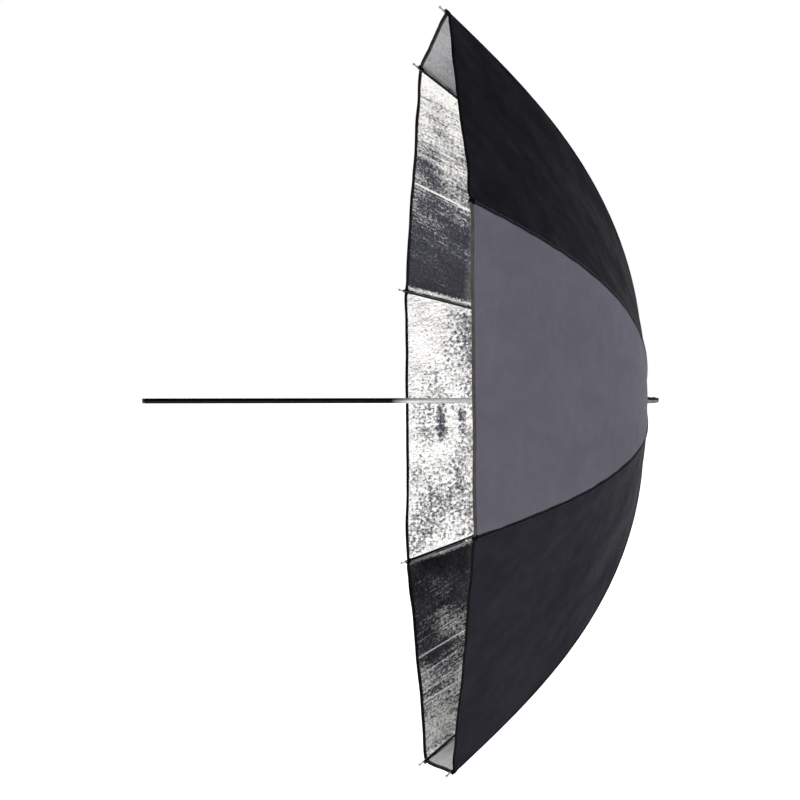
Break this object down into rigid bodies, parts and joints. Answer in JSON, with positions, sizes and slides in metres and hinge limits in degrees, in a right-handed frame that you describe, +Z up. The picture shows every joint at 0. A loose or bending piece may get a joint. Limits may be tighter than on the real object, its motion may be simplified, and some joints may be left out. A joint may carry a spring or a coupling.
{
  "type": "umbrella reflector",
  "caption": "Folding umbrella reflector: black and grey canopy with a silver crinkled lining, sprung ribs, stretchers and a sliding runner on a chromed steel shaft.",
  "frame": {"origin": "on the shaft's centre line, 60 mm from its handle end, where a lamp's or stand's umbrella holder grips it", "axes": "+X runs along the shaft to the crown and ferrule, so the open silver side faces -X; +Z is up in the picture's pose"},
  "size_m": [0.688, 1.0156, 1.0156],
  "materials": {
    "shaft_steel": "polished plate",
    "crown_steel": "satin plate",
    "rib_steel": "bright nickel plate",
    "tip_steel": "bright nickel plate",
    "spring_steel": "plain",
    "black_plastic": "fine matt grain",
    "black_cloth": "black coated nylon outside, silver crinkled lamination inside",
    "grey_cloth": "grey coated nylon outside, silver crinkled lamination inside"
  },
  "bodies": {
    "shaft": {"shaft_tube": "shaft_steel", "shaft_end_plug": "black_plastic", "crown_notch": "crown_steel", "crown_pin": "crown_steel", "crown_wire": "crown_steel", "ferrule": "shaft_steel", "crown_patch": "black_cloth", "stop_pin": "crown_steel"},
    "runner": {"runner": "black_plastic", "runner_wire": "crown_steel"},
    "rib_1": {"rib_1": "rib_steel", "rib_tab_1": "rib_steel", "rib_tip_1": "tip_steel"},
    "rib_2": {"rib_2": "rib_steel", "rib_tab_2": "rib_steel", "rib_tip_2": "tip_steel"},
    "rib_3": {"rib_3": "rib_steel", "rib_tab_3": "rib_steel", "rib_tip_3": "tip_steel"},
    "rib_4": {"rib_4": "rib_steel", "rib_tab_4": "rib_steel", "rib_tip_4": "tip_steel"},
    "rib_5": {"rib_5": "rib_steel", "rib_tab_5": "rib_steel", "rib_tip_5": "tip_steel"},
    "rib_6": {"rib_6": "rib_steel", "rib_tab_6": "rib_steel", "rib_tip_6": "tip_steel"},
    "rib_7": {"rib_7": "rib_steel", "rib_tab_7": "rib_steel", "rib_tip_7": "tip_steel"},
    "rib_8": {"rib_8": "rib_steel", "rib_tab_8": "rib_steel", "rib_tip_8": "tip_steel"},
    "stretcher_1": {"stretcher_1": "rib_steel"},
    "stretcher_2": {"stretcher_2": "rib_steel"},
    "stretcher_3": {"stretcher_3": "rib_steel"},
    "stretcher_4": {"stretcher_4": "rib_steel"},
    "stretcher_5": {"stretcher_5": "rib_steel"},
    "stretcher_6": {"stretcher_6": "rib_steel"},
    "stretcher_7": {"stretcher_7": "rib_steel"},
    "stretcher_8": {"stretcher_8": "rib_steel"},
    "panel_1_a": {"canopy_panel_1_a": "black_cloth"},
    "panel_1_b": {"canopy_panel_1_b": "black_cloth"},
    "panel_2_a": {"canopy_panel_2_a": "grey_cloth"},
    "panel_2_b": {"canopy_panel_2_b": "grey_cloth"},
    "panel_3_a": {"canopy_panel_3_a": "black_cloth"},
    "panel_3_b": {"canopy_panel_3_b": "black_cloth"},
    "panel_4_a": {"canopy_panel_4_a": "black_cloth"},
    "panel_4_b": {"canopy_panel_4_b": "black_cloth"},
    "panel_5_a": {"canopy_panel_5_a": "black_cloth"},
    "panel_5_b": {"canopy_panel_5_b": "black_cloth"},
    "panel_6_a": {"canopy_panel_6_a": "black_cloth"},
    "panel_6_b": {"canopy_panel_6_b": "black_cloth"},
    "panel_7_a": {"canopy_panel_7_a": "black_cloth"},
    "panel_7_b": {"canopy_panel_7_b": "black_cloth"},
    "panel_8_a": {"canopy_panel_8_a": "black_cloth"},
    "panel_8_b": {"canopy_panel_8_b": "black_cloth"},
    "open_catch": {"open_catch": "spring_steel"},
    "closed_catch": {"closed_catch": "spring_steel"}
  },
  "joints": [
    {"name": "runner_slide", "type": "slide", "parent": "shaft", "child": "runner", "axis": [-1, 0, 0], "range_m": [0, 0.29093], "deforming": ["canopy_panel_1_a", "canopy_panel_1_b", "canopy_panel_2_a", "canopy_panel_2_b", "canopy_panel_3_a", "canopy_panel_3_b", "canopy_panel_4_a", "canopy_panel_4_b", "canopy_panel_5_a", "canopy_panel_5_b", "canopy_panel_6_a", "canopy_panel_6_b", "canopy_panel_7_a", "canopy_panel_7_b", "canopy_panel_8_a", "canopy_panel_8_b", "open_catch", "closed_catch"]},
    {"name": "rib_1_fold", "type": "hinge", "parent": "shaft", "child": "rib_1", "pos_m": [0.60093, -0.00203, 0.0067], "axis": [0, -0.9568, -0.2907], "range_deg": [0, 60]},
    {"name": "rib_2_fold", "type": "hinge", "parent": "shaft", "child": "rib_2", "pos_m": [0.60093, -0.00617, 0.0033], "axis": [0, -0.471, -0.8821], "range_deg": [0, 60]},
    {"name": "rib_3_fold", "type": "hinge", "parent": "shaft", "child": "rib_3", "pos_m": [0.60093, -0.0067, -0.00203], "axis": [0, 0.2907, -0.9568], "range_deg": [0, 60]},
    {"name": "rib_4_fold", "type": "hinge", "parent": "shaft", "child": "rib_4", "pos_m": [0.60093, -0.0033, -0.00617], "axis": [0, 0.8821, -0.471], "range_deg": [0, 60]},
    {"name": "rib_5_fold", "type": "hinge", "parent": "shaft", "child": "rib_5", "pos_m": [0.60093, 0.00203, -0.0067], "axis": [0, 0.9568, 0.2907], "range_deg": [0, 60]},
    {"name": "rib_6_fold", "type": "hinge", "parent": "shaft", "child": "rib_6", "pos_m": [0.60093, 0.00617, -0.0033], "axis": [0, 0.471, 0.8821], "range_deg": [0, 60]},
    {"name": "rib_7_fold", "type": "hinge", "parent": "shaft", "child": "rib_7", "pos_m": [0.60093, 0.0067, 0.00203], "axis": [0, -0.2907, 0.9568], "range_deg": [0, 60]},
    {"name": "rib_8_fold", "type": "hinge", "parent": "shaft", "child": "rib_8", "pos_m": [0.60093, 0.0033, 0.00617], "axis": [0, -0.8821, 0.471], "range_deg": [0, 60]},
    {"name": "stretcher_1_swing", "type": "hinge", "parent": "runner", "child": "stretcher_1", "pos_m": [0.47093, -0.00276, 0.00909], "axis": [0, 0.9568, 0.2907], "range_deg": [0, 50.23]},
    {"name": "stretcher_2_swing", "type": "hinge", "parent": "runner", "child": "stretcher_2", "pos_m": [0.47093, -0.00838, 0.00447], "axis": [0, 0.471, 0.8821], "range_deg": [0, 50.23]},
    {"name": "stretcher_3_swing", "type": "hinge", "parent": "runner", "child": "stretcher_3", "pos_m": [0.47093, -0.00909, -0.00276], "axis": [0, -0.2907, 0.9568], "range_deg": [0, 50.23]},
    {"name": "stretcher_4_swing", "type": "hinge", "parent": "runner", "child": "stretcher_4", "pos_m": [0.47093, -0.00447, -0.00838], "axis": [0, -0.8821, 0.471], "range_deg": [0, 50.23]},
    {"name": "stretcher_5_swing", "type": "hinge", "parent": "runner", "child": "stretcher_5", "pos_m": [0.47093, 0.00276, -0.00909], "axis": [0, -0.9568, -0.2907], "range_deg": [0, 50.23]},
    {"name": "stretcher_6_swing", "type": "hinge", "parent": "runner", "child": "stretcher_6", "pos_m": [0.47093, 0.00838, -0.00447], "axis": [0, -0.471, -0.8821], "range_deg": [0, 50.23]},
    {"name": "stretcher_7_swing", "type": "hinge", "parent": "runner", "child": "stretcher_7", "pos_m": [0.47093, 0.00909, 0.00276], "axis": [0, 0.2907, -0.9568], "range_deg": [0, 50.23]},
    {"name": "stretcher_8_swing", "type": "hinge", "parent": "runner", "child": "stretcher_8", "pos_m": [0.47093, 0.00447, 0.00838], "axis": [0, 0.8821, -0.471], "range_deg": [0, 50.23]},
    {"name": "panel_1_a_pleat", "type": "hinge", "parent": "rib_1", "child": "panel_1_a", "pos_m": [0.60093, -0.00203, 0.0067], "axis": [-0.2555, 0.9511, -0.1735], "range_deg": [0, 28.37]},
    {"name": "panel_1_b_pleat", "type": "hinge", "parent": "rib_2", "child": "panel_1_b", "pos_m": [0.60093, -0.00617, 0.0033], "axis": [0.2555, 0.0145, 0.9667], "range_deg": [0, 28.37]},
    {"name": "panel_2_a_pleat", "type": "hinge", "parent": "rib_2", "child": "panel_2_a", "pos_m": [0.60093, -0.00617, 0.0033], "axis": [-0.2555, 0.7952, 0.5499], "range_deg": [0, 28.37]},
    {"name": "panel_2_b_pleat", "type": "hinge", "parent": "rib_3", "child": "panel_2_b", "pos_m": [0.60093, -0.0067, -0.00203], "axis": [0.2555, -0.6733, 0.6938], "range_deg": [0, 28.37]},
    {"name": "panel_3_a_pleat", "type": "hinge", "parent": "rib_3", "child": "panel_3_a", "pos_m": [0.60093, -0.0067, -0.00203], "axis": [-0.2555, 0.1735, 0.9511], "range_deg": [0, 28.37]},
    {"name": "panel_3_b_pleat", "type": "hinge", "parent": "rib_4", "child": "panel_3_b", "pos_m": [0.60093, -0.0033, -0.00617], "axis": [0.2555, -0.9667, 0.0145], "range_deg": [0, 28.37]},
    {"name": "panel_4_a_pleat", "type": "hinge", "parent": "rib_4", "child": "panel_4_a", "pos_m": [0.60093, -0.0033, -0.00617], "axis": [-0.2555, -0.5499, 0.7952], "range_deg": [0, 28.37]},
    {"name": "panel_4_b_pleat", "type": "hinge", "parent": "rib_5", "child": "panel_4_b", "pos_m": [0.60093, 0.00203, -0.0067], "axis": [0.2555, -0.6938, -0.6733], "range_deg": [0, 28.37]},
    {"name": "panel_5_a_pleat", "type": "hinge", "parent": "rib_5", "child": "panel_5_a", "pos_m": [0.60093, 0.00203, -0.0067], "axis": [-0.2555, -0.9511, 0.1735], "range_deg": [0, 28.37]},
    {"name": "panel_5_b_pleat", "type": "hinge", "parent": "rib_6", "child": "panel_5_b", "pos_m": [0.60093, 0.00617, -0.0033], "axis": [0.2555, -0.0145, -0.9667], "range_deg": [0, 28.37]},
    {"name": "panel_6_a_pleat", "type": "hinge", "parent": "rib_6", "child": "panel_6_a", "pos_m": [0.60093, 0.00617, -0.0033], "axis": [-0.2555, -0.7952, -0.5499], "range_deg": [0, 28.37]},
    {"name": "panel_6_b_pleat", "type": "hinge", "parent": "rib_7", "child": "panel_6_b", "pos_m": [0.60093, 0.0067, 0.00203], "axis": [0.2555, 0.6733, -0.6938], "range_deg": [0, 28.37]},
    {"name": "panel_7_a_pleat", "type": "hinge", "parent": "rib_7", "child": "panel_7_a", "pos_m": [0.60093, 0.0067, 0.00203], "axis": [-0.2555, -0.1735, -0.9511], "range_deg": [0, 28.37]},
    {"name": "panel_7_b_pleat", "type": "hinge", "parent": "rib_8", "child": "panel_7_b", "pos_m": [0.60093, 0.0033, 0.00617], "axis": [0.2555, 0.9667, -0.0145], "range_deg": [0, 28.37]},
    {"name": "panel_8_a_pleat", "type": "hinge", "parent": "rib_8", "child": "panel_8_a", "pos_m": [0.60093, 0.0033, 0.00617], "axis": [-0.2555, 0.5499, -0.7952], "range_deg": [0, 28.37]},
    {"name": "panel_8_b_pleat", "type": "hinge", "parent": "rib_1", "child": "panel_8_b", "pos_m": [0.60093, -0.00203, 0.0067], "axis": [0.2555, 0.6938, 0.6733], "range_deg": [0, 28.37]},
    {"name": "open_catch_press", "type": "hinge", "parent": "shaft", "child": "open_catch", "pos_m": [0.41463, 0.00119, -0.00012], "axis": [0, -0.0976, -0.9952], "range_deg": [0, 7], "stiffness_Nm_per_rad": 0.15, "springref_deg": -2.86},
    {"name": "closed_catch_press", "type": "hinge", "parent": "shaft", "child": "closed_catch", "pos_m": [0.1798, 0.00119, -0.00012], "axis": [0, 0.0976, 0.9952], "range_deg": [0, 7], "stiffness_Nm_per_rad": 0.15, "springref_deg": -2.86}
  ],
  "couplings": [
    {"joint": "rib_1_fold", "follows": "runner_slide", "rad_per_m": 3.5995},
    {"joint": "rib_2_fold", "follows": "runner_slide", "rad_per_m": 3.5995},
    {"joint": "rib_3_fold", "follows": "runner_slide", "rad_per_m": 3.5995},
    {"joint": "rib_4_fold", "follows": "runner_slide", "rad_per_m": 3.5995},
    {"joint": "rib_5_fold", "follows": "runner_slide", "rad_per_m": 3.5995},
    {"joint": "rib_6_fold", "follows": "runner_slide", "rad_per_m": 3.5995},
    {"joint": "rib_7_fold", "follows": "runner_slide", "rad_per_m": 3.5995},
    {"joint": "rib_8_fold", "follows": "runner_slide", "rad_per_m": 3.5995},
    {"joint": "stretcher_1_swing", "follows": "runner_slide", "rad_per_m": 3.0137},
    {"joint": "stretcher_2_swing", "follows": "runner_slide", "rad_per_m": 3.0137},
    {"joint": "stretcher_3_swing", "follows": "runner_slide", "rad_per_m": 3.0137},
    {"joint": "stretcher_4_swing", "follows": "runner_slide", "rad_per_m": 3.0137},
    {"joint": "stretcher_5_swing", "follows": "runner_slide", "rad_per_m": 3.0137},
    {"joint": "stretcher_6_swing", "follows": "runner_slide", "rad_per_m": 3.0137},
    {"joint": "stretcher_7_swing", "follows": "runner_slide", "rad_per_m": 3.0137},
    {"joint": "stretcher_8_swing", "follows": "runner_slide", "rad_per_m": 3.0137},
    {"joint": "panel_1_a_pleat", "follows": "runner_slide", "rad_per_m": 1.7021},
    {"joint": "panel_1_b_pleat", "follows": "runner_slide", "rad_per_m": 1.7021},
    {"joint": "panel_2_a_pleat", "follows": "runner_slide", "rad_per_m": 1.7021},
    {"joint": "panel_2_b_pleat", "follows": "runner_slide", "rad_per_m": 1.7021},
    {"joint": "panel_3_a_pleat", "follows": "runner_slide", "rad_per_m": 1.7021},
    {"joint": "panel_3_b_pleat", "follows": "runner_slide", "rad_per_m": 1.7021},
    {"joint": "panel_4_a_pleat", "follows": "runner_slide", "rad_per_m": 1.7021},
    {"joint": "panel_4_b_pleat", "follows": "runner_slide", "rad_per_m": 1.7021},
    {"joint": "panel_5_a_pleat", "follows": "runner_slide", "rad_per_m": 1.7021},
    {"joint": "panel_5_b_pleat", "follows": "runner_slide", "rad_per_m": 1.7021},
    {"joint": "panel_6_a_pleat", "follows": "runner_slide", "rad_per_m": 1.7021},
    {"joint": "panel_6_b_pleat", "follows": "runner_slide", "rad_per_m": 1.7021},
    {"joint": "panel_7_a_pleat", "follows": "runner_slide", "rad_per_m": 1.7021},
    {"joint": "panel_7_b_pleat", "follows": "runner_slide", "rad_per_m": 1.7021},
    {"joint": "panel_8_a_pleat", "follows": "runner_slide", "rad_per_m": 1.7021},
    {"joint": "panel_8_b_pleat", "follows": "runner_slide", "rad_per_m": 1.7021}
  ]
}
